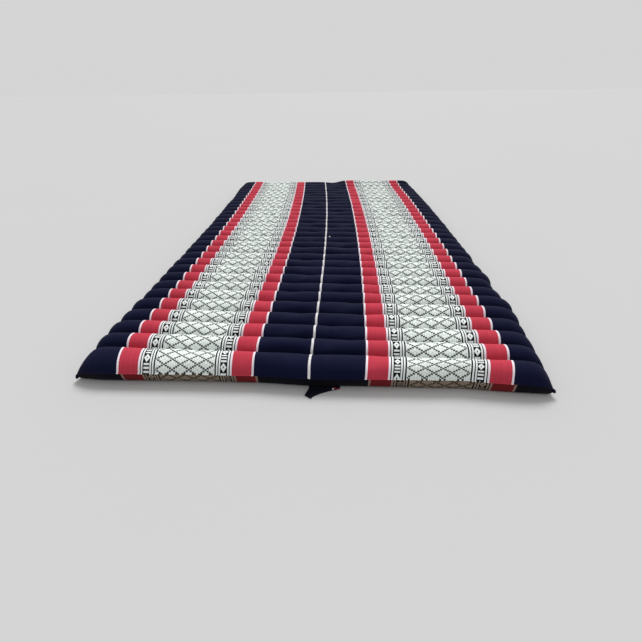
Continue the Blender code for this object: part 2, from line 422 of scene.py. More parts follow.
def grid_faces(grid):
    """Quads of a grid of points."""
    return quad_faces(np.arange(grid.shape[0] * grid.shape[1]).reshape(grid.shape[:2]))


def add_object(name, data):
    piece = bpy.data.objects.new(name, data)
    bpy.context.scene.collection.objects.link(piece)
    return piece


def make_mesh(name, points, faces, material):
    mesh = bpy.data.meshes.new(name)
    mesh.from_pydata([tuple(p) for p in points], [], [tuple(f) for f in faces])
    mesh.update()
    mesh.shade_smooth()
    mesh.materials.append(material)
    return add_object(name, mesh)


def add_uv(mesh, name, values):
    """A UV map from one pair a face corner."""
    layer = mesh.uv_layers.new(name=name)
    layer.uv.foreach_set("vector", np.asarray(values, dtype=np.float32).ravel())


def add_attribute(mesh, name, domain, values):
    """An attribute with one number for each vertex, edge or face."""
    mesh.attributes.new(name, "FLOAT", domain).data.foreach_set("value", values.astype(np.float32))


def rim_of(rows, across):
    """Mask of a cover's outermost rows and columns, whose vertices both covers share."""
    rim = np.zeros((rows, across), dtype=bool)
    rim[[0, -1], :] = True
    rim[:, [0, -1]] = True
    return rim


def add_cloth_maps(mesh, top, bottom, inset):
    """UV map "cloth", in metres across and along the woven cloth, and "OFBake", for baking."""
    rows, across = top.shape[:2]
    cloth_x = np.sign(top[..., 0] - middle_of(top[..., 1])) * (WIDTH / 2 - inset)
    cloth_x[:, across // 2] = 0.0
    turn = math.pi * (np.arange(rows) / ROLL_STEPS - 0.5)
    front = 0.5 - 0.5 * np.sin(np.clip(turn, -math.pi / 2, math.pi / 2))
    gather = np.where(cloth_x < 0, GATHERS[-1], GATHERS[1]) * front[:, None]
    cloth_x = cloth_x * (1.0 + gather)
    along_top = np.repeat(cloth_lengths(top)[:, None], across, axis=1)
    along_bottom = np.repeat(-cloth_lengths(bottom)[:, None], across, axis=1)
    top_uv = np.stack([cloth_x, along_top], axis=-1)
    bottom_uv = np.stack([cloth_x - UNDER_SHIFT, along_bottom], axis=-1)
    add_uv(mesh, "cloth", corner_values(top_uv, bottom_uv))

    share_x = cloth_x / WIDTH + 0.5
    share_y = np.repeat(np.linspace(0, 1, rows)[:, None], across, axis=1)
    bake_y = BAKE_ALONG[0] + BAKE_ALONG[1] * share_y
    bake_top = np.stack([BAKE_TOP[0] + BAKE_TOP[1] * share_x, bake_y], axis=-1)
    bake_bottom = np.stack([BAKE_UNDER[0] + BAKE_UNDER[1] * share_x, bake_y], axis=-1)
    add_uv(mesh, "OFBake", corner_values(bake_top, bake_bottom))


def make_mattress(material, shift):
    """Both covers as one closed cage, swollen by simulation between its sewn channels."""
    columns = column_places()
    top, bottom = cover_grid(columns, True), cover_grid(columns, False)
    rows, across = top.shape[:2]
    bulge = np.abs(np.sin(math.pi * (np.arange(rows) % ROLL_STEPS) / ROLL_STEPS))[:, None]
    inset = np.array([column[1] for column in columns])[None, :]
    inner = bulge * smooth_step(0.0, LUMP_REACH, inset)
    top[..., 2] += LUMP_HEIGHT * lumps(top, LUMP_SEED) * inner

    rim = rim_of(rows, across)
    top_index = np.arange(rows * across).reshape(rows, across)
    bottom_index = top_index.copy()
    bottom_index[~rim] = rows * across + np.arange((~rim).sum())
    points = np.concatenate([top.reshape(-1, 3), bottom[~rim]]) + shift
    top_faces = quad_faces(top_index)
    bottom_faces = quad_faces(bottom_index)[:, ::-1]
    piece = make_mesh("mattress_body", points, np.concatenate([top_faces, bottom_faces]), material)
    mesh = piece.data
    add_cloth_maps(mesh, top, bottom, inset)
    add_attribute(mesh, "under", "FACE", np.repeat([0.0, 1.0], [len(top_faces), len(bottom_faces)]))
    pinch = np.repeat(1.0 - bulge, across, axis=1)
    pinch = np.concatenate([pinch.ravel(), pinch[~rim]])
    add_attribute(mesh, "pinch", "POINT", pinch)
    sewn = pinch > SEWN
    crease_channels(mesh, sewn)
    fixed = sewn.copy()
    fixed[top_index[rim]] = True
    swell_cloth(piece, fixed)
    refine = piece.modifiers.new("refine", "SUBSURF")
    refine.levels = 1
    refine.render_levels = 1
    refine.uv_smooth = "NONE"
    apply_modifiers(piece)
    rest_on_floor(piece.data)
    return piece


def corner_values(top_grid, bottom_grid):
    """Values of the two covers' grids at their faces' corners, in the order of the faces."""
    faces = grid_faces(top_grid)
    flat_top, flat_bottom = top_grid.reshape(-1, 2), bottom_grid.reshape(-1, 2)
    return np.concatenate([flat_top[faces].reshape(-1, 2), flat_bottom[faces[:, ::-1]].reshape(-1, 2)])


def crease_channels(mesh, sharp):
    """Keep the sewn channels crisp under subdivision."""
    pairs = np.empty(len(mesh.edges) * 2, dtype=np.int32)
    mesh.edges.foreach_get("vertices", pairs)
    pairs = pairs.reshape(-1, 2)
    add_attribute(mesh, "crease_edge", "EDGE", sharp[pairs[:, 0]] & sharp[pairs[:, 1]])


def vertex_places(mesh):
    places = np.empty(len(mesh.vertices) * 3, dtype=np.float32)
    mesh.vertices.foreach_get("co", places)
    return places.reshape(-1, 3)


def set_places(mesh, places):
    mesh.vertices.foreach_set("co", places.astype(np.float32).ravel())
    mesh.update()


def swell_cloth(piece, fixed):
    """Inflate the covers between their pinned stitches and cap how far each point moves."""
    scene = bpy.context.scene
    start = vertex_places(piece.data)
    group = piece.vertex_groups.new(name="stitched")
    group.add([int(i) for i in np.nonzero(fixed)[0]], 1.0, "REPLACE")
    cloth = piece.modifiers.new("swell", "CLOTH")
    settings = cloth.settings
    settings.quality = 4
    settings.mass = 0.3
    settings.vertex_group_mass = "stitched"
    settings.use_pressure = True
    settings.uniform_pressure_force = CLOTH_PRESSURE
    settings.shrink_min = -CLOTH_SPARE
    settings.effector_weights.gravity = 0.0
    cloth.collision_settings.use_collision = False
    cloth.point_cache.frame_start = 1
    cloth.point_cache.frame_end = CLOTH_FRAMES
    for number in range(1, CLOTH_FRAMES + 1):
        scene.frame_set(number)
    swollen = piece.evaluated_get(bpy.context.evaluated_depsgraph_get())
    move = vertex_places(swollen.data) - start
    size = np.linalg.norm(move, axis=1, keepdims=True)
    move *= np.minimum(1.0, SWELL_CAP / np.maximum(size, 1e-9))
    piece.modifiers.remove(cloth)
    piece.vertex_groups.remove(group)
    scene.frame_set(1)
    set_places(piece.data, start + move)


def apply_modifiers(piece):
    """Replace the piece's mesh by what its modifiers make of it."""
    graph = bpy.context.evaluated_depsgraph_get()
    made = bpy.data.meshes.new_from_object(
        piece.evaluated_get(graph), preserve_all_data_layers=True, depsgraph=graph
    )
    old = piece.data
    made.name = old.name
    piece.modifiers.clear()
    piece.data = made
    bpy.data.meshes.remove(old)


def thicken(piece, thickness):
    """Give a thin cloth its thickness."""
    thick = piece.modifiers.new("thick", "SOLIDIFY")
    thick.thickness = thickness
    thick.offset = -1.0
    apply_modifiers(piece)


def rest_on_floor(mesh):
    places = vertex_places(mesh)
    places[:, 2] = np.maximum(places[:, 2], 0.0)
    set_places(mesh, places)


class Graph:
    """A material's nodes, written as short expressions."""

    def __init__(self, name, roughness, sheen=0.0):
        self.material = bpy.data.materials.new(name)
        self.material.use_nodes = True
        self.nodes = self.material.node_tree.nodes
        self.links = self.material.node_tree.links
        self.shader = self.nodes["Principled BSDF"]
        self.shader.inputs["Roughness"].default_value = roughness
        self.shader.inputs["Specular IOR Level"].default_value = 0.10
        self.shader.inputs["Sheen Weight"].default_value = sheen
        self.shader.inputs["Sheen Roughness"].default_value = 0.5

    def put(self, socket, value):
        if isinstance(value, bpy.types.NodeSocket):
            self.links.new(value, socket)
        elif isinstance(value, tuple) and len(value) == 3 and socket.type == "RGBA":
            socket.default_value = (*value, 1.0)
        else:
            socket.default_value = value

    def math(self, operation, *values):
        node = self.nodes.new("ShaderNodeMath")
        node.operation = operation
        for socket, value in zip(node.inputs, values):
            self.put(socket, value)
        return node.outputs[0]

    def add(self, a, b):
        return self.math("ADD", a, b)

    def subtract(self, a, b):
        return self.math("SUBTRACT", a, b)

    def times(self, a, b):
        return self.math("MULTIPLY", a, b)

    def below(self, a, b):
        return self.math("LESS_THAN", a, b)

    def above(self, a, b):
        return self.math("GREATER_THAN", a, b)

    def either(self, *masks):
        total = masks[0]
        for mask in masks[1:]:
            total = self.math("MAXIMUM", total, mask)
        return total

    def choose(self, mask, without, with_it):
        """One value where the mask is 0 and the other where it is 1."""
        if isinstance(without, float) and isinstance(with_it, float):
            return self.math("MULTIPLY_ADD", mask, with_it - without, without)
        return self.add(without, self.times(mask, self.subtract(with_it, without)))

    def fraction(self, value, period, offset=0.0):
        return self.math("FRACT", self.math("MULTIPLY_ADD", value, 1.0 / period, offset))

    def mix(self, share, a, b):
        node = self.nodes.new("ShaderNodeMix")
        node.data_type = "RGBA"
        self.put(node.inputs[0], share)
        self.put(node.inputs[6], a)
        self.put(node.inputs[7], b)
        return node.outputs[2]

    def uv(self, name):
        node = self.nodes.new("ShaderNodeUVMap")
        node.uv_map = name
        split = self.nodes.new("ShaderNodeSeparateXYZ")
        self.links.new(node.outputs[0], split.inputs[0])
        return node.outputs[0], split.outputs[0], split.outputs[1]

    def attribute(self, name):
        node = self.nodes.new("ShaderNodeAttribute")
        node.attribute_name = name
        return node.outputs["Fac"]

    def place(self):
        return self.nodes.new("ShaderNodeTexCoord").outputs["Object"]

    def noise(self, vector, scale, detail, stretch=(1.0, 1.0, 1.0)):
        mapping = self.nodes.new("ShaderNodeMapping")
        mapping.inputs["Scale"].default_value = stretch
        self.links.new(vector, mapping.inputs["Vector"])
        node = self.nodes.new("ShaderNodeTexNoise")
        node.inputs["Scale"].default_value = scale
        node.inputs["Detail"].default_value = detail
        self.links.new(mapping.outputs[0], node.inputs["Vector"])
        return node.outputs[0]

    def ramp(self, value, stops):
        """A ramp of hard bands from (end, colour) rows."""
        node = self.nodes.new("ShaderNodeValToRGB")
        ramp = node.color_ramp
        ramp.interpolation = "CONSTANT"
        ramp.elements.remove(ramp.elements[1])
        start = 0.0
        for number, (end, colour) in enumerate(stops):
            stop = ramp.elements[0] if number == 0 else ramp.elements.new(start)
            stop.color = (*colour, 1.0)
            start = end
        self.put(node.inputs[0], value)
        return node.outputs[0]

    def bump(self, height, distance, strength=1.0, under=None):
        node = self.nodes.new("ShaderNodeBump")
        node.inputs["Strength"].default_value = strength
        node.inputs["Distance"].default_value = distance
        self.links.new(height, node.inputs["Height"])
        if under is not None:
            self.links.new(under, node.inputs["Normal"])
        return node.outputs[0]

    def finish(self, colour, normal, roughness=None):
        self.put(self.shader.inputs["Base Color"], colour)
        self.links.new(normal, self.shader.inputs["Normal"])
        if roughness is not None:
            self.links.new(roughness, self.shader.inputs["Roughness"])
        return self.material


def lattice_marks(g, aside, along, right):
    """Dark marks of the diamond lattice: stepped lines, a specked inner line and a flower's notches."""
    edge = BANDS[0].edge
    repeat = 2.0 * edge / LATTICE_REPEATS
    half_cell = 0.5 / LATTICE_CELLS
    across = g.times(g.fraction(aside, repeat, edge / repeat + half_cell), LATTICE_CELLS)
    start = g.choose(right, *LATTICE_STARTS)
    up = g.times(g.fraction(g.subtract(along, start), LATTICE_ALONG, half_cell), LATTICE_CELLS)
    stepped = g.add(g.math("FLOOR", across), 0.5)
    cells = float(LATTICE_CELLS)
    rising = g.math("FLOORED_MODULO", g.add(g.subtract(up, stepped), LINE_HALF), cells)
    falling = g.math("FLOORED_MODULO", g.add(g.add(up, stepped), LINE_HALF - 1.0), cells)
    line = g.either(g.below(rising, 2.0 * LINE_HALF), g.below(falling, 2.0 * LINE_HALF))

    # a and b: distances from the middle of the diamond that holds the point, in cells
    half = LATTICE_CELLS / 2
    a = g.math("ABSOLUTE", g.subtract(across, half + 0.5))
    b = g.math("ABSOLUTE", g.subtract(up, 0.5))
    b = g.math("MINIMUM", b, g.subtract(float(LATTICE_CELLS), b))
    other = g.above(g.add(a, b), half)
    a = g.math("ABSOLUTE", g.subtract(a, g.times(other, half)))
    b = g.math("ABSOLUTE", g.subtract(b, g.times(other, half)))
    ring = g.add(a, b)
    speck = g.times(g.above(ring, SPECK_RING[0]), g.below(ring, SPECK_RING[1]))
    speck = g.times(speck, g.above(g.math("FRACT", a), SPECK_GAP))
    notch = g.below(g.math("ABSOLUTE", g.subtract(a, b)), NOTCH_HALF)
    notch = g.times(notch, g.below(ring, NOTCH_RING[1]))
    notch = g.times(notch, g.above(ring, NOTCH_RING[0]))
    dot = g.times(g.below(a, DOT_HALF[0]), g.below(b, DOT_HALF[1]))
    tip = g.below(g.math("ABSOLUTE", g.subtract(a, TIP_PLACE)), TIP_HALF[0])
    tip = g.times(tip, g.below(b, TIP_HALF[1]))
    return line, g.either(speck, notch, dot, tip)


def motif_marks(g, aside, along, right):
    """White marks of the motif columns: a diamond with a dark eye and the bars after it."""
    off = g.math("ABSOLUTE", g.subtract(g.math("ABSOLUTE", aside), MOTIF_CENTRE))
    far = g.above(aside, 0.0)
    start = g.choose(right, g.choose(far, *MOTIF_STARTS[0]), g.choose(far, *MOTIF_STARTS[1]))
    half_width, half_height = DIAMOND_HALF
    step = g.fraction(g.subtract(along, start), MOTIF_PERIOD, half_height / MOTIF_PERIOD)
    step = g.subtract(g.times(step, MOTIF_PERIOD), half_height)
    ring = g.add(g.times(off, 1.0 / half_width), g.times(g.math("ABSOLUTE", step), 1.0 / half_height))
    marks = [g.times(g.below(ring, 1.0), g.above(ring, DIAMOND_EYE))]
    for number in range(BARS):
        middle = BAR_FIRST + BAR_STEP * number
        on = g.below(g.math("ABSOLUTE", g.subtract(step, middle)), BAR_HEIGHT / 2)
        marks.append(g.times(on, g.below(off, BAR_WIDTH / 2)))
    return g.either(*marks)


def woven_pattern(g, cloth, across, along):
    """The woven stripes, the diamond lattice and the motif columns."""
    jitter = g.times(g.subtract(g.noise(cloth, 900.0, 1.0), 0.5), EDGE_JITTER)
    right = g.above(across, 0.0)
    centre = g.math("MULTIPLY_ADD", right, WIDTH_CENTRES[1] - WIDTH_CENTRES[0], WIDTH_CENTRES[0])
    aside = g.subtract(across, centre)
    half = g.math("ABSOLUTE", aside)
    edge = g.add(half, jitter)
    widest = BANDS[-1].edge
    stripes = g.ramp(g.times(edge, 1.0 / widest), [(b.edge / widest, COLOURS[b.colour]) for b in BANDS])

    lines, details = lattice_marks(g, aside, along, right)
    lattice = g.mix(g.times(details, DETAIL_SHARE), COLOURS["lattice"], COLOURS["black"])
    lattice = g.mix(g.times(lines, LINE_SHARE), lattice, COLOURS["black"])
    colour = g.mix(g.below(half, BANDS[0].edge), stripes, lattice)
    in_motif = g.times(g.above(half, BANDS[4].edge), g.below(half, BANDS[5].edge))
    motif = g.times(in_motif, motif_marks(g, aside, along, right))
    return g.mix(motif, colour, COLOURS["white"])


def cotton_tone_and_painted_shade(g, cloth, place):
    """A factor for yarns, streaks of dye, wear, and painted shade that darkens the sewn channels."""
    warp = g.noise(cloth, 1.0, 1.0, (900.0, 14.0, 1.0))
    weft = g.noise(cloth, 1.0, 1.0, (14.0, 900.0, 1.0))
    yarn = g.times(g.add(warp, weft), 0.5)
    worn = g.noise(place, 7.0, 4.0)
    streaks = g.noise(cloth, 1.0, 2.0, (230.0, 0.8, 1.0))
    shade = g.math("MULTIPLY_ADD", yarn, *YARN_SHADE)
    shade = g.times(shade, g.math("MULTIPLY_ADD", streaks, *STREAK_SHADE))
    shade = g.times(shade, g.math("MULTIPLY_ADD", worn, *WORN_SHADE))
    # painted shade: darker towards the sewn channels, where the pinch is 1
    return g.times(shade, g.math("MULTIPLY_ADD", g.attribute("pinch"), *CHANNEL_PAINTED_SHADE))


def cotton_relief(g, cloth, across, along, place):
    """Bumps of the weave, the puckers at the channels and soft creases."""
    wave = 2.0 * math.pi / YARN_PITCH
    height = g.add(g.math("SINE", g.times(across, wave)), g.math("SINE", g.times(along, wave)))
    weave = g.bump(g.times(height, 0.5), 0.00012, 0.5)
    pucker = g.noise(cloth, 1.0, 2.0, (110.0, 9.0, 1.0))
    pucker = g.times(pucker, g.math("POWER", g.attribute("pinch"), 1.5))
    puckers = g.bump(pucker, 0.0035, 0.8, weave)
    return g.bump(g.noise(place, 26.0, 3.0), 0.0016, 0.5, puckers)


def woven_cloth():
    """The striped cotton cover, drawn in cloth coordinates."""
    g = Graph("striped_cotton", roughness=0.85, sheen=0.015)
    cloth, across, along = g.uv("cloth")
    place = g.place()
    shaded = g.nodes.new("ShaderNodeVectorMath")
    shaded.operation = "SCALE"
    g.put(shaded.inputs[0], woven_pattern(g, cloth, across, along))
    g.put(shaded.inputs["Scale"], cotton_tone_and_painted_shade(g, cloth, place))
    # the bottom cover gets the browner colour with painted shade
    colour = g.mix(g.attribute("under"), shaded.outputs[0], under_tint_and_painted_shade(g, shaded.outputs[0]))
    relief = cotton_relief(g, cloth, across, along, place)
    roughness = g.math("MULTIPLY_ADD", g.noise(cloth, 60.0, 3.0), 0.16, 0.74)
    return g.finish(colour, relief, roughness)


def under_tint_and_painted_shade(g, colour):
    """A colour of the bottom cover: the top's, browner and darker as painted shade of the underside."""
    node = g.nodes.new("ShaderNodeMix")
    node.data_type = "RGBA"
    node.blend_type = "MULTIPLY"
    node.inputs[0].default_value = 1.0
    g.put(node.inputs[6], colour)
    g.put(node.inputs[7], UNDER_TINT_AND_PAINTED_SHADE)
    return node.outputs[2]


def plain_cloth(name, colour, roughness, grain):
    """Plain cotton or thread with a fine grain."""
    g = Graph(name, roughness=roughness, sheen=0.01)
    place = g.place()
    fine = g.noise(place, grain, 2.0)
    soft = g.noise(place, grain / 12.0, 3.0)
    share = g.times(g.add(fine, soft), 0.5)
    dark = tuple(0.6 * part for part in colour)
    light = tuple(min(1.0, 1.4 * part) for part in colour)
    return g.finish(g.mix(share, dark, light), g.bump(fine, 0.0004, 0.6))


def sweep(name, path, ring, material, closed):
    """A tube of the ring's section along a path. The ring has (outward, up) offsets for each path point."""
    path = np.asarray(path)
    count, sides = ring.shape[:2]
    if closed:
        along = np.roll(path, -1, axis=0) - np.roll(path, 1, axis=0)
    else:
        along = np.gradient(path, axis=0)
    along /= np.linalg.norm(along, axis=1, keepdims=True)
    outward = np.stack([along[:, 1], -along[:, 0], np.zeros(count)], axis=1)
    outward /= np.linalg.norm(outward, axis=1, keepdims=True)
    up = np.cross(outward, along)
    points = path[:, None] + ring[..., :1] * outward[:, None] + ring[..., 1:] * up[:, None]
    index = np.arange(count * sides).reshape(count, sides)
    index = np.concatenate([index, index[:, :1]], axis=1)
    if closed:
        index = np.concatenate([index, index[:1]], axis=0)
    faces = [tuple(face) for face in quad_faces(index)]
    if not closed:
        faces += [tuple(range(sides))[::-1], tuple(range((count - 1) * sides, count * sides))]
    return make_mesh(name, points.reshape(-1, 3), faces, material)


def fine_rows():
    """Roll numbers and angles of a finer division of the rolls, front to back."""
    rows = np.arange(ROLLS * FINE_STEPS + 1)
    roll = np.minimum(rows // FINE_STEPS, ROLLS - 1)
    return roll, math.pi * ((rows - roll * FINE_STEPS) / FINE_STEPS - 0.5)


def rim_path():
    """The seam round the rim, against the clock: front, right, back, left."""
    left, right = SIDES
    roll, angle = fine_rows()
    insets = np.concatenate([RIM_INSETS, np.linspace(RIM_INSETS[-1], WIDTH / 2, SEAM_STEPS)[1:]])
    first, last = (0, -math.pi / 2), (ROLLS - 1, math.pi / 2)
    front_left = cover_points(left, insets, *first, True)
    front_right = cover_points(right, insets, *first, True)
    back_left = cover_points(left, insets, *last, True)
    back_right = cover_points(right, insets, *last, True)
    return np.concatenate([
        front_left[:-1],
        front_right[::-1][:-1],
        cover_points(right, 0.0, roll, angle, True)[:-1],
        back_right[:-1],
        back_left[::-1][:-1],
        cover_points(left, 0.0, roll, angle, True)[::-1][:-1],
    ])


def make_rim_seam(material, shift):
    """The ridge where the two covers are sewn together, in the same woven cloth."""
    path = rim_path()
    path[:, 2] = np.maximum(path[:, 2], SEAM_RADIUS)
    turn = np.linspace(0.0, 2.0 * math.pi, SEAM_SIDES, endpoint=False)
    wide, high = SEAM_ROUND
    ring = np.stack([wide * np.cos(turn) - SEAM_INWARD, high * np.sin(turn)], axis=1) * SEAM_RADIUS
    piece = sweep("rim_seam", path + shift, np.repeat(ring[None], len(path), axis=0), material, True)
    mesh = piece.data
    across = path[:, 0] - middle_of(path[:, 1])
    front = np.abs(path[:, 1] + LENGTH / 2) < SEAM_FRONT
    across *= 1.0 + np.where(front, np.where(across < 0, GATHERS[-1], GATHERS[1]), 0.0)
    corners = np.array([loop.vertex_index for loop in mesh.loops]) // SEAM_SIDES
    add_uv(mesh, "cloth", np.stack([across[corners], np.full(len(corners), SEAM_YARN)], axis=1))
    return piece


def surface_of(piece):
    mesh = piece.data
    return BVHTree.FromPolygons([v.co for v in mesh.vertices], [p.vertices for p in mesh.polygons])


def dropped(surface, x, y):
    """Height of the mattress's top under a point."""
    hit = surface.ray_cast(Vector((x, y, 1.0)), Vector((0.0, 0.0, -1.0)))[0]
    return hit.z if hit is not None else STITCH_HEIGHT


def make_centre_seam(material, surface, shift):
    """The raised white line where the two cloth widths are joined, over the top of every roll."""
    roll, angle = fine_rows()
    path = cover_points(SIDES[0], WIDTH / 2, roll, angle, True) + shift
    for point in path[1:-1]:
        point[2] = dropped(surface, point[0], point[1])
    half = CENTRE_LINE / 2
    ring = np.array([
        (-half, -CENTRE_DEPTH), (half, -CENTRE_DEPTH),
        (half, 0.4 * CENTRE_RAISE), (0.55 * half, CENTRE_RAISE), (0.0, 1.1 * CENTRE_RAISE),
        (-0.55 * half, CENTRE_RAISE), (-half, 0.4 * CENTRE_RAISE),
    ])
    wander = CENTRE_WANDER * np.sin(np.arange(len(path)) * 0.9)[:, None]
    rings = np.repeat(ring[None], len(path), axis=0)
    rings[..., 0] += wander
    return sweep("centre_seam", path, rings, material, False)


def spindles(name, starts, ends, arch, radius, material):
    """Stitches: thin four-sided spindles from start to end, arched by a vector each."""
    starts, ends, arch = np.asarray(starts), np.asarray(ends), np.asarray(arch)
    along = ends - starts
    along /= np.linalg.norm(along, axis=1, keepdims=True)
    up = arch / np.linalg.norm(arch, axis=1, keepdims=True)
    aside = np.cross(along, up)
    points = [starts]
    for share in (0.3, 0.7):
        middle = starts + (ends - starts) * share + arch
        for turn in range(4):
            angle = math.pi * turn / 2
            points.append(middle + radius * (math.cos(angle) * aside + math.sin(angle) * up))
    points.append(ends)
    points = np.stack(points, axis=1)
    # A spindle's points: 0 its start, 1 to 4 and 5 to 8 its two rings, 9 its end
    faces = []
    for turn in range(4):
        after = (turn + 1) % 4
        faces.append((0, 1 + after, 1 + turn))
        faces.append((1 + turn, 1 + after, 5 + after, 5 + turn))
        faces.append((9, 5 + turn, 5 + after))
    offsets = range(0, len(starts) * points.shape[1], points.shape[1])
    every = [tuple(offset + corner for corner in face) for offset in offsets for face in faces]
    return make_mesh(name, points.reshape(-1, 3), every, material)


def make_channel_stitches(material, surface, shift):
    """The thread in each channel between two rolls."""
    starts, ends = [], []
    chance = random.Random(STITCH_SEED)
    for y in CHANNELS[1:-1]:
        middle = middle_of(y)
        x = -WIDTH / 2 + STITCH_MARGIN
        while x < WIDTH / 2 - STITCH_MARGIN:
            place = middle + x + chance.uniform(-STITCH_JITTER, STITCH_JITTER)
            for points, end in ((starts, place), (ends, place + STITCH_LENGTH)):
                height = dropped(surface, end + shift[0], y + shift[1])
                points.append((end + shift[0], y + shift[1], height))
            x += STITCH_PITCH
    arch = np.repeat([[0.0, 0.0, 0.7 * THREAD_RADIUS]], len(starts), axis=0)
    return spindles("channel_stitches", starts, ends, arch, THREAD_RADIUS, material)


def make_rim_stitches(material, shift):
    """The thread over the rim seam."""
    path = rim_path()
    path[:, 2] = np.maximum(path[:, 2], SEAM_RADIUS)
    path = np.concatenate([path, path[:1]])
    steps = np.linalg.norm(np.diff(path, axis=0), axis=1)
    run = np.concatenate([[0.0], np.cumsum(steps)])
    count = int(run[-1] / STITCH_PITCH)
    places = np.arange(count) * run[-1] / count
    centre = np.stack([np.interp(places, run, path[:, axis]) for axis in range(3)], axis=1)
    ahead = np.stack([np.interp(places + 0.001, run, path[:, axis]) for axis in range(3)], axis=1)
    along = (ahead - centre) / np.linalg.norm(ahead - centre, axis=1, keepdims=True)
    outward = np.stack([along[:, 1], -along[:, 0], np.zeros(count)], axis=1)
    up = np.array([0.0, 0.0, 1.0])
    slant = STITCH_SLANT * along
    starts = centre - slant - outward * STITCH_INNER + up * 1.05 * SEAM_RADIUS + shift
    ends = centre + slant - outward * STITCH_OUTER - up * 0.7 * SEAM_RADIUS + shift
    ends[:, 2] = np.maximum(ends[:, 2], STITCH_LIFT)
    arch = outward * STITCH_ARCH[0] + up * STITCH_ARCH[1]
    return spindles("rim_stitches", starts, ends, arch, 0.8 * THREAD_RADIUS, material)


def tab_place(across, along):
    """Floor place of a point on the gathered end: across from the left, along from its root to its tip."""
    beyond = np.maximum(along, 0.0)
    left = TAB_LEFT + (TAB_TIP_LEFT - TAB_LEFT) * beyond
    drawn_in = 1.0 - (1.0 - beyond) ** TAB_SWEEP
    right_start = TAB_LEFT + TAB_WIDTH
    right = right_start + (TAB_TIP_LEFT + TAB_TIP_WIDTH - right_start) * drawn_in
    back = TAB_BACK_LEFT + TAB_BACK_SKEW * across
    reach = TAB_TIP_REACH + TAB_TIP_SKEW * across
    return left + (right - left) * across, -LENGTH / 2 - back - (reach - back) * along


def make_tab(material, surface, shift):
    """The gathered cloth end: one thin cloth in narrow folds, from under the front roll to its tip."""
    across = np.linspace(0.0, 1.0, TAB_COLUMNS + 1)[None, :]
    along = np.linspace(-TAB_UNDER, 1.0, TAB_ROWS + 1)[:, None]
    x, y = tab_place(across, along)
    tip = np.maximum(along, 0.0)
    wave = 2.0 * math.pi * TAB_FOLDS * across + 1.3 * np.sin(3.0 * along + 4.0 * across)
    height = TAB_FOLD_HEIGHT * (1.0 - 0.45 * tip) * (0.75 + 0.25 * np.sin(9.0 * across + 2.0))
    fade = smooth_step(0.0, 0.05, across) * smooth_step(0.0, 0.05, 1.0 - across)
    z = TAB_CLOTH + height * (0.5 - 0.5 * np.cos(wave)) * fade
    z += TAB_RISE * smooth_step(0.0, TAB_UNDER, -along)
    x = x + TAB_LEAN * np.sin(wave) * fade
    y = y + TAB_FRAY * np.sin(31.0 * across + 1.0) * np.sin(17.0 * across) * smooth_step(0.85, 1.0, along)
    points = np.stack([x, y, z], axis=-1) + shift
    for point in points.reshape(-1, 3):
        hit = surface.ray_cast(Vector((point[0], point[1], -0.01)), Vector((0.0, 0.0, 1.0)))[0]
        if hit is not None:
            point[2] = max(TAB_CLOTH, min(point[2], hit.z - TAB_CLEARANCE))
    piece = make_mesh("gathered_end", points.reshape(-1, 3), grid_faces(points)[:, ::-1], material)
    thicken(piece, TAB_CLOTH)
    rest_on_floor(piece.data)
    return piece


def make_scrap(material, shift):
    """A little folded scrap of red cloth at the right of the gathered end."""
    columns, rows = SCRAP_GRID
    share_x = np.linspace(0.0, 1.0, columns + 1)[None, :]
    share_y = np.linspace(0.0, 1.0, rows + 1)[:, None]
    x = SCRAP_PLACE[0] + SCRAP_SIZE[0] * share_x
    y = SCRAP_PLACE[1] + SCRAP_SIZE[1] * share_y * (1.0 - SCRAP_TAPER * share_x) + SCRAP_TURN * share_x
    z = SCRAP_HEIGHT + SCRAP_WAVE * np.sin(5.0 * share_x + 3.0 * share_y) - SCRAP_DROP * share_x
    points = np.stack(np.broadcast_arrays(x, y, z), axis=-1) + shift
    piece = make_mesh("red_scrap", points.reshape(-1, 3), grid_faces(points), material)
    thicken(piece, SCRAP_CLOTH)
    rest_on_floor(piece.data)
    return piece


def make_knot(material, shift):
    """The white knot of thread beside the scrap."""
    bpy.ops.mesh.primitive_ico_sphere_add(subdivisions=3, radius=KNOT_RADIUS)
    piece = bpy.context.object
    piece.name = "thread_knot"
    places = vertex_places(piece.data)
    places *= 1.0 + KNOT_TWIST * np.sin(places[:, :1] * 2600.0 + places[:, 1:2] * 1900.0)
    set_places(piece.data, places + np.array(KNOT_PLACE) + shift)
    piece.data.shade_smooth()
    piece.data.materials.append(material)
    return piece


def make_lint(material, surface, shift):
    """A speck of kapok fluff caught on the cover."""
    chance = random.Random(LINT_SEED)
    data = bpy.data.curves.new("kapok_fluff", "CURVE")
    data.dimensions = "3D"
    data.bevel_depth = LINT_RADIUS
    data.bevel_resolution = 1
    data.use_fill_caps = True
    x, y = LINT_PLACE[0] + shift[0], LINT_PLACE[1] + shift[1]
    base = dropped(surface, x, y)
    for _ in range(LINT_FIBRES):
        spline = data.splines.new("POLY")
        turn, curl = chance.uniform(0.0, 2.0 * math.pi), chance.uniform(1.5, 4.0)
        length = LINT_SPREAD * chance.uniform(0.6, 1.2)
        spline.points.add(LINT_STEPS - 1)
        for step in range(LINT_STEPS):
            share = step / (LINT_STEPS - 1) - 0.5
            bend = turn + curl * share
            rise = LINT_LIFT + LINT_ARCH * (0.25 - share * share) * 4.0 * chance.uniform(0.8, 1.0)
            spline.points[step].co = (
                x + length * share * math.cos(bend), y + length * share * math.sin(bend), base + rise, 1.0
            )
    curve = add_object("kapok_fluff", data)
    mesh = bpy.data.meshes.new_from_object(curve.evaluated_get(bpy.context.evaluated_depsgraph_get()))
    bpy.data.objects.remove(curve)
    piece = add_object("kapok_fluff", mesh)
    mesh.materials.clear()
    mesh.materials.append(material)
    return piece


def make_floor(material):
    """A plain pale floor, far wider than the view."""
    points = [(x, y, -FLOOR_GAP) for y in (-FLOOR_REACH, FLOOR_REACH) for x in (-FLOOR_REACH, FLOOR_REACH)]
    floor = make_mesh("floor", points, [(0, 1, 3, 2)], material)


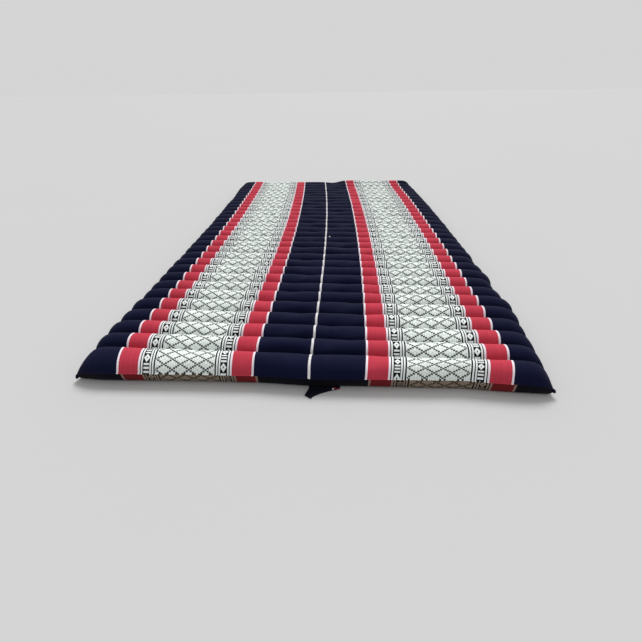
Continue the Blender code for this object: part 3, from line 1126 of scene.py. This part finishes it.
def floor_material():
    g = Graph("pale_floor", roughness=0.9)
    tone = g.noise(g.place(), 1.2, 3.0)
    light = tuple(FLOOR_UNEVEN * part for part in FLOOR_TONE)
    return g.finish(g.mix(tone, FLOOR_TONE, light), g.bump(tone, 0.0002, 0.1))


def make_lights():
    """An even pale surround, and a broad soft light from high behind the mattress."""
    light = bpy.data.lights.new("soft_key", "SUN")
    light.energy = KEY_STRENGTH
    light.angle = KEY_SOFTNESS
    lamp = add_object("soft_key", light)
    lamp.location = KEY_FROM
    lamp.rotation_mode = "QUATERNION"
    lamp.rotation_quaternion = (-Vector(KEY_FROM)).to_track_quat("-Z", "Y")
    world = bpy.data.worlds.new("studio")
    world.use_nodes = True
    background = world.node_tree.nodes["Background"]
    background.inputs["Color"].default_value = (1.0, 1.0, 1.0, 1.0)
    background.inputs["Strength"].default_value = SURROUND
    bpy.context.scene.world = world
    bpy.context.scene.view_settings.view_transform = "Standard"


def make_camera(shift):
    """The camera, low in front of one short end."""
    forward = Vector((
        math.sin(CAMERA_YAW) * math.cos(CAMERA_PITCH),
        math.cos(CAMERA_YAW) * math.cos(CAMERA_PITCH),
        -math.sin(CAMERA_PITCH),
    ))
    level = Vector((math.cos(CAMERA_YAW), -math.sin(CAMERA_YAW), 0.0))
    upright = level.cross(forward)
    right = math.cos(CAMERA_ROLL) * level + math.sin(CAMERA_ROLL) * upright
    up = right.cross(forward)
    data = bpy.data.cameras.new("camera")
    data.sensor_width = 36.0
    data.lens = CAMERA_LENS
    data.shift_x, data.shift_y = CAMERA_SHIFT
    data.clip_start = 0.01
    camera = add_object("camera", data)
    camera.matrix_world = Matrix.Translation(Vector(CAMERA_PLACE) + Vector(shift)) @ Matrix(
        (right, up, -forward)
    ).transposed().to_4x4()
    bpy.context.scene.camera = camera


def centre_shift():
    """From the mattress's own frame to the CAD frame: its right side, front and back meet the CAD's."""
    columns = column_places()
    both = np.concatenate([cover_grid(columns, top).reshape(-1, 3) for top in (True, False)])
    low, high = (np.array(corner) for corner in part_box("mattress"))
    move = (low + high) / 2 - (both.min(axis=0) + both.max(axis=0)) / 2
    move[0] = high[0] - both[:, 0].max()
    move[2] = 0.0
    return move


def main():
    shift = centre_shift()
    make_camera(shift)
    make_lights()
    make_floor(floor_material())
    cover = woven_cloth()
    thread = plain_cloth("black_thread", THREAD_BLACK, 0.7, 3000.0)
    white = plain_cloth("white_cotton", COTTON_WHITE, 0.8, 1800.0)
    navy = plain_cloth("navy_cotton", COTTON_NAVY, 0.85, 1400.0)
    red = plain_cloth("red_cotton", COTTON_RED, 0.85, 1400.0)
    mattress = make_mattress(cover, shift)
    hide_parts("mattress")
    surface = surface_of(mattress)
    sewn = [
        make_rim_seam(cover, shift),
        make_centre_seam(white, surface, shift),
        make_channel_stitches(thread, surface, shift),
        make_rim_stitches(thread, shift),
        make_lint(white, surface, shift),
    ]
    for piece in [mattress] + sewn:
        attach(piece, "root")
    tab = make_tab(navy, surface, shift)
    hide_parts("front_tab")
    scraps = [make_scrap(red, shift), make_knot(white, shift)]
    for piece in [tab] + scraps:
        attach(piece, "root")


main()
